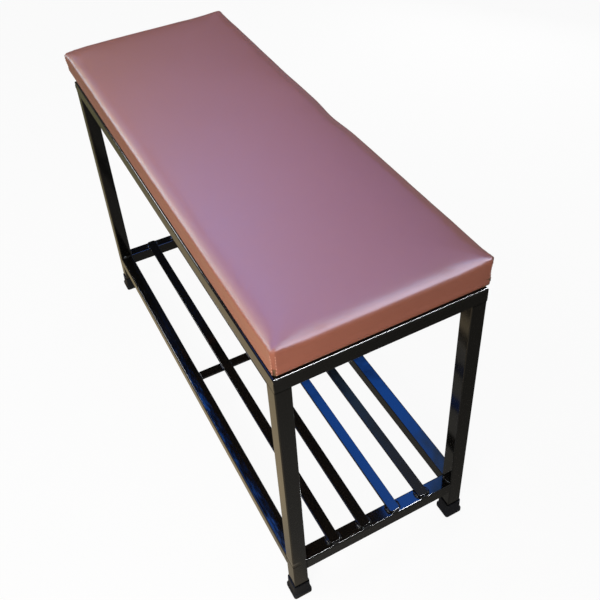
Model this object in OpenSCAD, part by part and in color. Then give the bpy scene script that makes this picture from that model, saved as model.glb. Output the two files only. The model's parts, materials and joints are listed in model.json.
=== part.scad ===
// Shoe rack bench: a welded square tube frame with a slatted shelf under an upholstered seat.
// Millimetres, +Z up. The bench stands on its four feet at z = 0, its length runs along X,
// and the origin is the middle of the space that it takes up on the floor.

/* [Frame] */
// Length of the welded frame, over the outer faces of the legs
frame_length = 900; // [500:10:1500]
// Depth of the welded frame, over the outer faces of the legs
frame_depth = 330; // [240:5:500]
// Height of the top face of the frame, which the seat lies on
frame_height = 545; // [350:5:800]
// Outer size of the square tube
tube = 25; // [19:1:32]
// Wall of the square tube
tube_wall = 1.5; // [1:0.1:2.5]
// Outer radius of the tube's long edges
tube_radius = 2; // [1.6:0.1:2.4]

/* [Shelf] */
// Height of the top face of the shelf rails
shelf_height = 95; // [70:5:160]
// Width of the flat bar that makes the slats and the cross bar
bar_width = 19; // [12:1:25]
// Thickness of the flat bar
bar_thick = 5; // [3:0.5:8]
// Gap between a long shelf rail and the slat next to it, before the row is shifted
rail_gap = 44; // [20:1:60]
// How far the row of slats lies off the frame's middle, towards the back
slat_shift = 1.5; // [-4:0.5:4]
// Distance from the outer face of an end rail to the end of a slat
slat_inset = 4; // [1:0.5:10]

/* [Feet] */
// Height of a foot cap from the floor to its rim
cap_height = 30; // [20:1:45]
// Wall of the cap's sleeve round the leg
cap_wall = 2; // [1.5:0.1:3]
// Thickness of the cap's floor under the leg
cap_floor = 5; // [3:0.5:8]
// Play between the leg and the cap's sleeve, on each side
cap_play = 0.1; // [0.05:0.05:0.3]
// Height of the wider base of the cap
base_height = 8; // [5:0.5:12]
// How far the base stands out past the sleeve
base_out = 2; // [1:0.1:4]

/* [Seat] */
// How far the seat's fullest part overhangs the frame's left end
left_overhang = 53; // [0:1:120]
// How far the seat's fullest part overhangs the frame's back
back_overhang = 12; // [0:1:40]
// Height of the seat's top edge over the frame
seat_height = 49; // [40:1:90]
// How far the top is crowned above its edge
crown = 4; // [1:0.5:10]
// Radius of the rounded top edges
edge_radius = 12; // [8:1:16]
// Radius of the seat's upright corners
corner_radius = 7; // [5:0.5:12]
// How far the long sides are drawn in halfway between the corners
side_draw = 1; // [0:0.5:6]
// How far the foot of the sides stands back from their fullest part
side_bulge = 1.5; // [0.5:0.1:3]
// How far the seat stands back from the frame's right end
right_inset = 1; // [0:0.5:10]
// How far the seat stands back from the frame's front
front_inset = 0; // [0:0.5:10]
// Thickness of the plywood board
board_thick = 12; // [9:1:18]
// Thickness of the leatherette
cover_thick = 1.2; // [0.8:0.1:2]
// How far the turned-in leatherette shows inside the frame's rails
turn_shows = 8; // [4:1:20]

/* [Fixings] */
// Diameter of the seat screws
screw_d = 4.8; // [4:0.1:6]
// Diameter of the screw heads
screw_head_d = 10; // [8:0.5:12]
// Height of the screw heads
screw_head_height = 2.6; // [2:0.1:4]
// How deep a screw goes into the board
screw_bite = 9; // [6:0.5:11]
// Clearance round a screw in the holes that it passes
screw_play = 0.35; // [0.1:0.05:0.6]
// Distance from the frame's ends to the outer screws
screw_end = 100; // [50:5:200]
// Distance between the staples
staple_pitch = 55; // [40:5:90]
// Width of a staple
staple_width = 10; // [6:1:14]
// Thickness of the staple wire
staple_wire = 0.8; // [0.6:0.1:1.2]

/* [Welds] */
// Leg of the low seams at the mitres and at the tops of the legs
seam_weld = 1.5; // [1:0.1:3]
// Leg of the full welds on the shelf rails' tops
weld = 4; // [2:0.5:5]
// Leg of the hollow welds under the shelf rails
under_weld = 7; // [4:0.5:9]
// Leg of the small welds beside the slats
slat_weld = 3; // [2:0.5:4]

/* [Hidden] */

paint = [0.09, 0.09, 0.1];
rubber = [0.13, 0.13, 0.14];
leatherette = [0.5, 0.27, 0.22];
foam = [0.93, 0.9, 0.78];
plywood = [0.76, 0.6, 0.4];
steel = [0.7, 0.71, 0.72];

slats = 4;
eps = 0.01;
least_radius = 0.2;
bore_radius = max(tube_radius - tube_wall, least_radius);

// The feet stand out past the frame, and the seat past its left end and its back
foot_out = cap_play + cap_wall + base_out;
seat_length = frame_length - right_inset + left_overhang;
seat_depth = frame_depth - front_inset + back_overhang;
x_out_left = max(left_overhang, foot_out);
x_out_right = max(-right_inset, foot_out);
y_out_back = max(back_overhang, foot_out);
y_out_front = max(-front_inset, foot_out);

// Middle of the welded frame, and of the seat, from the origin
frame_x = (x_out_left - x_out_right) / 2;
frame_y = (y_out_front - y_out_back) / 2;
seat_x = frame_x + frame_length / 2 - right_inset - seat_length / 2;
seat_y = frame_y - frame_depth / 2 + front_inset + seat_depth / 2;

half_x = frame_length / 2;
half_y = frame_depth / 2;
leg_x = half_x - tube / 2;
leg_y = half_y - tube / 2;
rail_under = frame_height - tube;
between_legs_x = frame_length - 2 * tube;
between_legs_y = frame_depth - 2 * tube;
slat_pitch = (between_legs_y - 2 * rail_gap - bar_width) / (slats - 1);
screw_spread = half_x - screw_end;

// Width of the leatherette turned in under the board: past the overhang and the rail, to where it shows
turned_in = back_overhang + tube + turn_shows;

// Square with rounded corners, centred
module rounded_square(size, radius) {
    square([size, size - 2 * radius], center = true);
    square([size - 2 * radius, size], center = true);
    for (sx = [-1, 1], sy = [-1, 1])
        translate([sx * (size / 2 - radius), sy * (size / 2 - radius)])
            circle(r = radius, $fn = 24);
}

// Square tube with rounded long edges, along +Z from z = 0, its section centred on the axis
module square_tube(length) {
    linear_extrude(length)
        difference() {
            rounded_square(tube, tube_radius);
            rounded_square(tube - 2 * tube_wall, bore_radius);
        }
}

module tube_along_x(length) {
    translate([-length / 2, 0, 0])
        rotate([0, 90, 0])
            square_tube(length);
}

module tube_along_y(length) {
    translate([0, length / 2, 0])
        rotate([90, 0, 0])
            square_tube(length);
}

// A top rail on the +Y side of the frame, its outer face at y = 0, mitred inwards from both corners
module mitred_rail(length) {
    difference() {
        translate([0, -tube / 2, 0])
            tube_along_x(length);
        for (side = [-1, 1])
            scale([side, 1, 1])
                translate([length / 2, 0, 0])
                    rotate([0, 0, -45])
                        translate([0, -tube * 2, -tube])
                            cube([tube * 2, tube * 4, tube * 2]);
    }
}

module long_top_rail(side) {
    color(paint)
        translate([frame_x, frame_y, frame_height - tube / 2])
            difference() {
                rotate([0, 0, side > 0 ? 0 : 180])
                    translate([0, half_y, 0])
                        mitred_rail(frame_length);
                for (i = [-1 : 1])
                    translate([i * screw_spread, side * leg_y, -tube])
                        cylinder(d = screw_d + 2 * screw_play, h = 2 * tube, $fn = 32);
            }
}

module end_top_rail(side) {
    color(paint)
        translate([frame_x, frame_y, frame_height - tube / 2])
            rotate([0, 0, side > 0 ? -90 : 90])
                translate([0, half_x, 0])
                    mitred_rail(frame_depth);
}

module leg(sx, sy) {
    color(paint)
        translate([frame_x + sx * leg_x, frame_y + sy * leg_y, cap_floor])
            square_tube(rail_under - cap_floor);
}

module long_shelf_rail(side) {
    color(paint)
        translate([frame_x, frame_y + side * leg_y, shelf_height - tube / 2])
            tube_along_x(between_legs_x);
}

module end_shelf_rail(side) {
    color(paint)
        translate([frame_x + side * leg_x, frame_y, shelf_height - tube / 2])
            tube_along_y(between_legs_y);
}

// Flat bars: the slats lie on the end rails, and the cross bar lies under them, flush with the rails
function slat_y(i) = frame_y + slat_shift + (i - (slats - 1) / 2) * slat_pitch;

module slat(i) {
    color(paint)
        translate([frame_x - half_x + slat_inset, slat_y(i) - bar_width / 2, shelf_height])
            cube([frame_length - 2 * slat_inset, bar_width, bar_thick]);
}

module shelf_cross_bar() {
    color(paint)
        translate([frame_x - bar_width / 2, frame_y - between_legs_y / 2, shelf_height - bar_thick])
            cube([bar_width, between_legs_y, bar_thick]);
}

// Moulded cap on the foot of a leg: a sleeve with a rounded rim, and a wider base with a bevelled top
module foot_cap(sx, sy) {
    inside = tube + 2 * cap_play;
    sleeve = inside + 2 * cap_wall;
    base = sleeve + 2 * base_out;
    rim = cap_wall / 2;
    color(rubber)
        translate([frame_x + sx * leg_x, frame_y + sy * leg_y, 0])
            difference() {
                union() {
                    linear_extrude(cap_height)
                        rounded_square(sleeve, tube_radius + cap_wall);
                    linear_extrude(base_height)
                        rounded_square(base, tube_radius + cap_wall + base_out);
                }
                translate([0, 0, cap_floor])
                    linear_extrude(cap_height)
                        rounded_square(inside, tube_radius + cap_play);
                for (turn = [0 : 90 : 270])
                    rotate([0, 0, turn]) {
                        translate([sleeve / 2, 0, cap_height])
                            rotate([0, 45, 0])
                                cube([rim, 2 * base, rim], center = true);
                        translate([base / 2, 0, base_height])
                            rotate([0, 45, 0])
                                cube([base_out, 2 * base, base_out], center = true);
                    }
            }
}

// Fillet weld with a full face, along +Z from z = 0, in the corner between the +X and +Y planes
module fillet(leg_size, length) {
    intersection() {
        cylinder(r = leg_size, h = length, $fn = 32);
        cube([2 * leg_size, 2 * leg_size, length]);
    }
}

// Hollow fillet weld, placed like the full one: its face is an arc that ends in a blunt toe on each plane
module hollow_fillet(leg_size, length) {
    centre = 1.3 * leg_size;
    toe = leg_size / 12;
    linear_extrude(length)
        difference() {
            square(leg_size);
            translate([centre, centre])
                circle(r = norm([centre - leg_size, centre - toe]), $fn = 64);
        }
}

// Upright welds in the inner corners of the top frame
module top_corner_welds() {
    color(paint)
        for (sx = [-1, 1], sy = [-1, 1])
            translate([frame_x, frame_y, rail_under + tube_radius])
                scale([sx, sy, 1])
                    translate([half_x - tube, half_y - tube, 0])
                        rotate([0, 0, 180])
                            fillet(seam_weld, tube - 2 * tube_radius);
}

// Welds between the top of each leg and the rails over it, on the inner sides
module leg_welds() {
    weld_length = tube - 2 * tube_radius;
    color(paint)
        for (sx = [-1, 1], sy = [-1, 1])
            translate([frame_x, frame_y, rail_under])
                scale([sx, sy, 1]) {
                    translate([half_x - tube, leg_y - weld_length / 2, 0])
                        rotate([-90, 0, 0])
                            rotate([0, 0, 90])
                                fillet(seam_weld, weld_length);
                    translate([leg_x - weld_length / 2, half_y - tube, 0])
                        rotate([0, 90, 0])
                            rotate([0, 0, -90])
                                fillet(seam_weld, weld_length);
                }
}

// Welds at the ends of the shelf rails, against the legs: full ones on top and hollow ones underneath
module shelf_rail_weld(up, length) {
    if (up > 0)
        fillet(weld, length);
    else
        hollow_fillet(under_weld, length);
}

module shelf_rail_welds() {
    weld_length = tube - 2 * tube_radius;
    color(paint)
        for (sx = [-1, 1], sy = [-1, 1], up = [-1, 1])
            translate([frame_x, frame_y, shelf_height - tube / 2])
                scale([sx, sy, up]) {
                    translate([half_x - tube, leg_y - weld_length / 2, tube / 2])
                        rotate([-90, 0, 0])
                            rotate([0, 0, 180])
                                shelf_rail_weld(up, weld_length);
                    translate([leg_x - weld_length / 2, half_y - tube, tube / 2])
                        rotate([0, 90, 0])
                            rotate([0, 0, 180])
                                shelf_rail_weld(up, weld_length);
                }
}

// Small welds on both sides of each slat, where it lies on the end rails
module slat_welds() {
    weld_length = tube - slat_inset - tube_radius;
    color(paint)
        for (i = [0 : slats - 1], sx = [-1, 1], sy = [-1, 1])
            translate([frame_x, slat_y(i), shelf_height])
                scale([sx, sy, 1])
                    translate([half_x - tube + tube_radius, bar_width / 2, 0])
                        rotate([0, 90, 0])
                            rotate([0, 0, 90])
                                fillet(slat_weld, weld_length);
}

// One small weld beside each slat on the cross bar, and one under each end of the cross bar
module cross_bar_welds() {
    color(paint) {
        for (i = [0 : slats - 1])
            translate([frame_x - bar_width / 4, slat_y(i) + bar_width / 2, shelf_height])
                rotate([0, 90, 0])
                    rotate([0, 0, 90])
                        fillet(slat_weld, bar_width / 2);
        for (sy = [-1, 1])
            translate([frame_x, frame_y, shelf_height - bar_thick])
                scale([1, sy, 1])
                    translate([-bar_width / 2, between_legs_y / 2, 0])
                        rotate([0, 90, 0])
                            rotate([0, 0, -90])
                                fillet(slat_weld, bar_width);
    }
}

// The seat's outline is a ring of points: each corner is an arc, and each side is drawn in between them
corner_points = 4;
long_points = 8;
short_points = 4;
least_corner = 1.5;

function side_points(from, to, count, draw) =
    let(along = to - from, inward = [-along[1], along[0]] / norm(along))
    [for (k = [1 : count])
        let(t = k / (count + 1), s = 2 * t - 1)
        from + along * t + inward * draw * (1 - s * s)];

function arc_points(centre, radius, start) =
    [for (k = [0 : corner_points - 1])
        let(a = start + 90 * k / (corner_points - 1))
        centre + radius * [cos(a), sin(a)]];

// Points of the outline, standing in from the seat's fullest part by inset, anticlockwise from +X, -Y
function outline(inset) =
    let(
        hx = seat_length / 2 - inset,
        hy = seat_depth / 2 - inset,
        r = max(corner_radius - inset, least_corner),
        cx = hx - r,
        cy = hy - r
    )
    concat(
        arc_points([cx, -cy], r, -90),
        side_points([hx, -cy], [hx, cy], short_points, side_draw / 2),
        arc_points([cx, cy], r, 0),
        side_points([cx, hy], [-cx, hy], long_points, side_draw),
        arc_points([-cx, cy], r, 90),
        side_points([-hx, cy], [-hx, -cy], short_points, side_draw / 2),
        arc_points([-cx, -cy], r, 180),
        side_points([-cx, -hy], [cx, -hy], long_points, side_draw)
    );

function ring(inset, z) = [for (p = outline(inset)) [p[0], p[1], z]];

// Rings of the padded form above a height, for a surface that lies a depth inside the seat's skin
edge_steps = 4;
crown_steps = [0.86, 0.6, 0.3];
full_height = 0.55;
least_step = 2;

function side_rings(depth, from) =
    let(side = seat_height - edge_radius, full = side * full_height)
    concat(
        [ring(depth + side_bulge * pow(max(1 - from / full, 0), 2), from)],
        from < full - least_step ? [ring(depth, full)] : [],
        [for (k = [0 : edge_steps])
            let(a = 90 * k / edge_steps, r = edge_radius - depth)
            ring(depth + r * (1 - cos(a)), side + r * sin(a))]
    );

function crown_rings(depth) =
    let(edge = outline(edge_radius), hx = seat_length / 2 - edge_radius, hy = seat_depth / 2 - edge_radius)
    [for (s = crown_steps)
        [for (p = edge)
            let(x = p[0] * s, y = p[1] * s)
            [x, y, seat_height - depth + crown * (1 - pow(x / hx, 2)) * (1 - pow(y / hy, 2))]]];

function padded_rings(depth, from) = concat(side_rings(depth, from), crown_rings(depth));

// A closed skin over a run of rings, with a flat fan on the first ring and on the last
module skin(rings) {
    n = len(rings[0]);
    last = len(rings) - 1;
    points = concat([for (r = rings) each r], [middle(rings[0]), middle(rings[last])]);
    low = n * (last + 1);
    faces = concat(
        [for (j = [0 : n - 1]) [low, j, (j + 1) % n]],
        [for (i = [0 : last - 1], j = [0 : n - 1])
            let(a = i * n + j, b = i * n + (j + 1) % n)
            each [[a, a + n, b], [b, a + n, b + n]]],
        [for (j = [0 : n - 1]) [low + 1, last * n + (j + 1) % n, last * n + j]]
    );
    polyhedron(points, faces);
}

// Mean of a ring in plan, and its greatest height, where the fan meets
function middle(r) = [
    (max([for (p = r) p[0]]) + min([for (p = r) p[0]])) / 2,
    (max([for (p = r) p[1]]) + min([for (p = r) p[1]])) / 2,
    max([for (p = r) p[2]])
];

// Holes for the seat screws, up from the frame's top face
module screw_holes(diameter, height) {
    for (i = [-1 : 1], side = [-1, 1])
        translate([frame_x + i * screw_spread, frame_y + side * leg_y, frame_height - eps])
            cylinder(d = diameter, h = height + eps, $fn = 32);
}

soft_gap = 0.3;

module seat_board() {
    inset = cover_thick + side_bulge + side_draw + soft_gap;
    hx = seat_length / 2 - inset;
    hy = seat_depth / 2 - inset;
    r = corner_radius - cover_thick;
    color(plywood)
        difference() {
            translate([seat_x, seat_y, frame_height + cover_thick])
                linear_extrude(board_thick) {
                    square([2 * hx, 2 * (hy - r)], center = true);
                    square([2 * (hx - r), 2 * hy], center = true);
                    for (sx = [-1, 1], sy = [-1, 1])
                        translate([sx * (hx - r), sy * (hy - r)])
                            circle(r = r, $fn = 32);
                }
            screw_holes(screw_d, cover_thick + screw_bite);
        }
}

module seat_foam() {
    color(foam)
        translate([seat_x, seat_y, frame_height])
            skin(padded_rings(cover_thick + soft_gap, cover_thick + board_thick));
}

// The leatherette: its outer face, the turned-in strip under the board, and its inner face
module seat_cover() {
    inner_reversed = padded_rings(cover_thick, cover_thick);
    count = len(inner_reversed);
    outer = padded_rings(0, 0);
    outer_count = len(outer);
    color(leatherette)
        difference() {
            translate([seat_x, seat_y, frame_height])
                skin(concat(
                    [for (i = [0 : count - 1]) inner_reversed[count - 1 - i]],
                    [ring(turned_in, cover_thick), ring(turned_in, 0)],
                    outer
                ));
            screw_holes(screw_d + 2 * screw_play, cover_thick + eps);
        }
}

// Pan-head screws up through the long top rails into the board
module seat_screws() {
    length = tube + cover_thick + screw_bite;
    color(steel)
        for (i = [-1 : 1], side = [-1, 1])
            translate([frame_x + i * screw_spread, frame_y + side * leg_y, rail_under]) {
                cylinder(d = screw_d, h = length, $fn = 32);
                translate([0, 0, -screw_head_height])
                    cylinder(d = screw_head_d, h = screw_head_height, $fn = 32);
            }
}

// Crown of a staple, lying under the leatherette at z = 0
module staple(along_x) {
    size = along_x ? [staple_width, staple_wire] : [staple_wire, staple_width];
    translate([0, 0, -staple_wire / 2])
        cube([size[0], size[1], staple_wire], center = true);
}

row_margin = 30;

// Staples in the turned-in leatherette, where no rail covers it: inside the frame, and past its left end
module cover_staples() {
    row_x = between_legs_x / 2 - turn_shows / 2;
    row_y = between_legs_y / 2 - turn_shows / 2;
    row_left = half_x + left_overhang - min(left_overhang, turned_in) / 2;
    along_x = floor((between_legs_x / 2 - row_margin) / staple_pitch);
    along_y = floor((between_legs_y / 2 - row_margin) / staple_pitch);
    color(steel)
        translate([frame_x, frame_y, frame_height]) {
            for (i = [-along_x : along_x], side = [-1, 1])
                translate([i * staple_pitch, side * row_y, 0])
                    staple(true);
            for (i = [-along_y : along_y]) {
                translate([row_x, i * staple_pitch, 0])
                    staple(false);
                if (left_overhang > staple_width)
                    translate([-row_left, i * staple_pitch, 0])
                        staple(false);
            }
        }
}

long_top_rail(-1);  // top_rail_front
long_top_rail(1);  // top_rail_back
end_top_rail(-1);  // top_rail_left
end_top_rail(1);  // top_rail_right
leg(-1, -1);  // leg_front_left
leg(1, -1);  // leg_front_right
leg(-1, 1);  // leg_back_left
leg(1, 1);  // leg_back_right
long_shelf_rail(-1);  // shelf_rail_front
long_shelf_rail(1);  // shelf_rail_back
end_shelf_rail(-1);  // shelf_rail_left
end_shelf_rail(1);  // shelf_rail_right
shelf_cross_bar();
slat(0);  // shelf_slat_1
slat(1);  // shelf_slat_2
slat(2);  // shelf_slat_3
slat(3);  // shelf_slat_4
foot_cap(-1, -1);  // foot_cap_front_left
foot_cap(1, -1);  // foot_cap_front_right
foot_cap(-1, 1);  // foot_cap_back_left
foot_cap(1, 1);  // foot_cap_back_right
top_corner_welds();
leg_welds();
shelf_rail_welds();
slat_welds();
cross_bar_welds();
seat_board();
seat_foam();
seat_cover();
seat_screws();
cover_staples();
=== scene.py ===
"""Shoe rack bench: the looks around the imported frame, in metres, +Z up.

The near end is at +X, the far end at -X, the front at -Y and the back at +Y.
"""

import json
import math
import random

import bmesh
import bpy
from mathutils import Matrix, Vector, noise

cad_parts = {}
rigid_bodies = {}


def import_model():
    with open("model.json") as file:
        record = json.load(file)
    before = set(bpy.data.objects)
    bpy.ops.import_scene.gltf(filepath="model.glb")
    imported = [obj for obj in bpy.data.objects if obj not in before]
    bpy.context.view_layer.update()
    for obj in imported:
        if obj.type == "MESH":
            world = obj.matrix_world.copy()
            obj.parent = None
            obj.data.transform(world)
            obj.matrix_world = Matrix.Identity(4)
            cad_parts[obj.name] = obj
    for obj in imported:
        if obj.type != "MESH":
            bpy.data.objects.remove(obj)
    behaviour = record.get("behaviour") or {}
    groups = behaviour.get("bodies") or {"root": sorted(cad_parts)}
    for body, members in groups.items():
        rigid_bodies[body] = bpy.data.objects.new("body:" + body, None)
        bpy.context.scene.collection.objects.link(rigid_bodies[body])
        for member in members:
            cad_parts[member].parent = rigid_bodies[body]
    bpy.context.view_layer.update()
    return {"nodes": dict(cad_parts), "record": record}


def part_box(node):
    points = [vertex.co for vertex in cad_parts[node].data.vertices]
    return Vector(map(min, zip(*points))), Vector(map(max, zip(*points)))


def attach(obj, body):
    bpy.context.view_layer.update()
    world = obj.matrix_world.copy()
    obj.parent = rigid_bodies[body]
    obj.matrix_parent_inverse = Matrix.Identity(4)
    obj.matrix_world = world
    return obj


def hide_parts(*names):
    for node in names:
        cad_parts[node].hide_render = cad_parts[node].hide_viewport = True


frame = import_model()

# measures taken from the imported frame
SEAT_LOW, SEAT_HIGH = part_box("seat_cover")
SEAT_MIDDLE = (SEAT_LOW + SEAT_HIGH) / 2
SEAT_LENGTH, SEAT_DEPTH = SEAT_HIGH.x - SEAT_LOW.x, SEAT_HIGH.y - SEAT_LOW.y
FAR_X, NEAR_X = SEAT_LOW.x, SEAT_HIGH.x
FRONT_Y, BACK_Y = SEAT_LOW.y, SEAT_HIGH.y
FRAME_TOP = SEAT_LOW.z
RAIL_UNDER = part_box("top_rail_front")[0].z
FRONT_LEFT, BACK_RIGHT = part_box("top_rail_front")[0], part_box("top_rail_back")[1]
SHELF_UNDER, SHELF_TOP = (corner.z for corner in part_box("shelf_rail_front"))
TUBE = SHELF_TOP - SHELF_UNDER
LEGS_X = (FRONT_LEFT.x + TUBE, BACK_RIGHT.x - TUBE)
LEGS_Y = (FRONT_LEFT.y + TUBE, BACK_RIGHT.y - TUBE)
CORNERS = [(sx, sy) for sx in (-1, 1) for sy in (-1, 1)]
SLATS = ("shelf_slat_1", "shelf_slat_2", "shelf_slat_3", "shelf_slat_4")

# two heights or places closer than this count as the same
HAIR = 1e-5


# selecting and shaping, as by hand
def drop_selection():
    """Nothing is selected, so that the next operator acts on its own piece alone."""
    if bpy.context.object and bpy.context.object.mode != "OBJECT":
        bpy.ops.object.mode_set(mode="OBJECT")
    bpy.ops.object.select_all(action="DESELECT")


def only(piece):
    """This piece alone is selected and active."""
    drop_selection()
    piece.select_set(True)
    bpy.context.view_layer.objects.active = piece
    return piece


def name_new(name):
    """The active object and its mesh take this name."""
    piece = bpy.context.object
    piece.name = name
    piece.data.name = name
    return piece


def settle(piece):
    """The piece's place goes into its mesh, and its object to the origin."""
    only(piece)
    bpy.ops.object.transform_apply(location=True, rotation=True, scale=True)
    return piece


def cube(name, low, high):
    """A cube from its lowest to its highest corner."""
    drop_selection()
    low, high = Vector(low), Vector(high)
    bpy.ops.mesh.primitive_cube_add(size=1, location=(low + high) / 2)
    piece = name_new(name)
    piece.scale = high - low
    return settle(piece)


def finish_with(piece, kind, **settings):
    """Adds a modifier with these settings and applies it."""
    only(piece)
    modifier = piece.modifiers.new(kind.title(), kind)
    for key, value in settings.items():
        setattr(modifier, key, value)
    bpy.ops.object.modifier_apply(modifier=modifier.name)
    return piece


def smooth(piece, angle):
    """Shades the piece smooth over edges that turn by less than this angle in degrees."""
    only(piece)
    bpy.ops.object.shade_smooth_by_angle(angle=math.radians(angle))
    return piece


def start_editing(piece, kind):
    """Edit mode for edges or faces, with nothing selected."""
    only(piece)
    bpy.ops.object.mode_set(mode="EDIT")
    bpy.ops.mesh.select_mode(type=kind)
    bpy.ops.mesh.select_all(action="DESELECT")
    return bmesh.from_edit_mesh(piece.data)


def select_edges(piece, wanted):
    """In edit mode, the edges are selected for which wanted(middle, direction) holds."""
    shape = start_editing(piece, "EDGE")
    for edge in shape.edges:
        a, b = (v.co for v in edge.verts)
        if wanted((a + b) / 2, (b - a).normalized()):
            edge.select_set(True)
    bmesh.update_edit_mesh(piece.data)


def select_faces(piece, wanted):
    """In edit mode, the faces are selected for which wanted(middle, normal) holds."""
    shape = start_editing(piece, "FACE")
    for face in shape.faces:
        if wanted(face.calc_center_median(), face.normal):
            face.select_set(True)
    bmesh.update_edit_mesh(piece.data)


def bevel_edges(piece, wanted, size, steps):
    select_edges(piece, wanted)
    bpy.ops.mesh.bevel(offset=size, segments=steps, profile=0.5, affect="EDGES")
    bpy.ops.object.mode_set(mode="OBJECT")
    return piece


def extrude_up(rise):
    """Extrudes the selected faces, in edit mode. A rise below zero goes down."""
    bpy.ops.mesh.extrude_region_move(TRANSFORM_OT_translate={"value": (0, 0, rise)})


def copy_of(model, place):
    """A copy with its own mesh, put in its place by a matrix."""
    piece = model.copy()
    piece.data = model.data.copy()
    piece.data.transform(place)
    bpy.context.scene.collection.objects.link(piece)
    return piece


def hand_over(piece, finish, slot, *nodes):
    """Gives the piece its finish, hides the frame's nodes that it stands for, and hangs it on the root body.
    """
    piece.data.materials.clear()
    piece.data.materials.append(finish)
    if nodes:
        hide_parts(*nodes)
    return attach(piece, "root")


def join(name, parts, angle):
    """One piece of many, shaded smooth up to this angle in degrees."""
    drop_selection()
    for part in parts:
        part.select_set(True)
    bpy.context.view_layer.objects.active = parts[0]
    bpy.ops.object.join()
    return smooth(name_new(name), angle)


def smoothstep(value, low, high):
    """0 below low, 1 above high, and smooth between them."""
    t = min(max((value - low) / (high - low), 0.0), 1.0)
    return t * t * (3 - 2 * t)


def hump(value, width, centre=0.0):
    """1 at the centre, falling off evenly on both sides over about this width."""
    return math.exp(-(((value - centre) / width) ** 2))


def between(pair, share):
    """From the pair's first value at share 0 to its second at share 1."""
    return pair[0] + (pair[1] - pair[0]) * share


# finishes
class Value:
    """A socket that takes part in Python sums, each of which adds a Math node."""

    def __init__(self, finish, socket):
        self.finish, self.socket = finish, socket

    def math(self, operation, *others):
        return self.finish.add("Math", {"operation": operation}, dict(enumerate((self, *others))))

    def __add__(self, other):
        return self.math("ADD", other)

    __radd__ = __add__

    def __mul__(self, other):
        return self.math("MULTIPLY", other)

    __rmul__ = __mul__

    def __sub__(self, other):
        return self.math("SUBTRACT", other)

    def __rsub__(self, other):
        return self.finish.add("Math", {"operation": "SUBTRACT"}, {0: other, 1: self})

    def over(self, low, high):
        """0 below low, 1 above high, and smooth between them."""
        sockets = {"Value": self, "From Min": low, "From Max": high}
        return self.finish.add("MapRange", {"interpolation_type": "SMOOTHSTEP"}, sockets)


class Finish:
    """A material or a world with one surface shader, and a short way to write its nodes."""

    def __init__(self, name, kind="Material"):
        self.kind = kind
        self.material = (bpy.data.worlds if kind == "World" else bpy.data.materials).new(name)
        self.material.use_nodes = True
        self.nodes = self.material.node_tree.nodes
        self.links = self.material.node_tree.links
        self.nodes.clear()
        self.place = self.add("TexCoord", out="Generated" if kind == "World" else "Object")

    def add(self, kind, settings=None, sockets=None, out=0):
        """One node: its settings are set first, then the values or links of its sockets."""
        node = self.nodes.new("ShaderNode" + kind)
        for key, value in (settings or {}).items():
            setattr(node, key, value)
        for key, value in (sockets or {}).items():
            if isinstance(value, Value):
                self.links.new(value.socket, node.inputs[key])
            else:
                node.inputs[key].default_value = value
        return Value(self, node.outputs[out])

    def axis(self, number):
        """One coordinate of the place in metres, or of a world's direction: 0 for X, 1 for Y, 2 for Z."""
        return self.add("SeparateXYZ", None, {0: self.place}, out=number)

    def along(self, way):
        """How far the place lies along this direction."""
        return self.add("VectorMath", {"operation": "DOT_PRODUCT"}, {0: self.place, 1: way}, out="Value")

    def noise(self, scale, detail=3, stretch=(1, 1, 1)):
        """Noise between 0 and 1, with about this many features to the metre, times the stretch each way."""
        where = self.add("Mapping", None, {"Vector": self.place, "Scale": stretch})
        sockets = {"Vector": where, "Scale": scale, "Detail": detail, "Roughness": 0.55}
        return self.add("TexNoise", None, sockets)

    def mix(self, share, a, b):
        """Colour a at share 0 and colour b at share 1."""
        colours = [c if isinstance(c, Value) else (*c, 1) for c in (a, b)]
        return self.add("Mix", {"data_type": "RGBA"}, {0: share, 6: colours[0], 7: colours[1]}, out=2)

    def bump(self, height, distance, strength):
        return self.add("Bump", None, {"Height": height, "Distance": distance, "Strength": strength})

    def emission(self, colour):
        return self.add("Emission", None, {"Color": colour, "Strength": 1.0})

    def background(self, colour, strength=1.0):
        return self.add("Background", None, {"Color": colour, "Strength": strength})

    def blend(self, share, a, b):
        """Shader a at share 0 and shader b at share 1."""
        return self.add("MixShader", None, {0: share, 1: a, 2: b})

    def any_ray(self, *kinds):
        """1 where one of these kinds of ray asks for the colour, and else 0."""
        share = self.add("LightPath", out=f"Is {kinds[0]} Ray")
        for kind in kinds[1:]:
            share = share.math("MAXIMUM", self.add("LightPath", out=f"Is {kind} Ray"))
        return share

    def surface(self, **sockets):
        """The Principled shader, with the names of its sockets in small letters."""
        named = {key.replace("_", " ").title().replace("Ior", "IOR"): value for key, value in sockets.items()}
        return self.end(self.add("BsdfPrincipled", None, named))

    def end(self, shader):
        node = self.nodes.new("ShaderNodeOutput" + self.kind)
        self.links.new(shader.socket, node.inputs["Surface"])
        return self.material


# how far in from its front face the top of the front shelf rail is rolled down, and how steeply
ROLLED_WIDTH = 0.015
ROLLED_STEEP = 260


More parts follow.
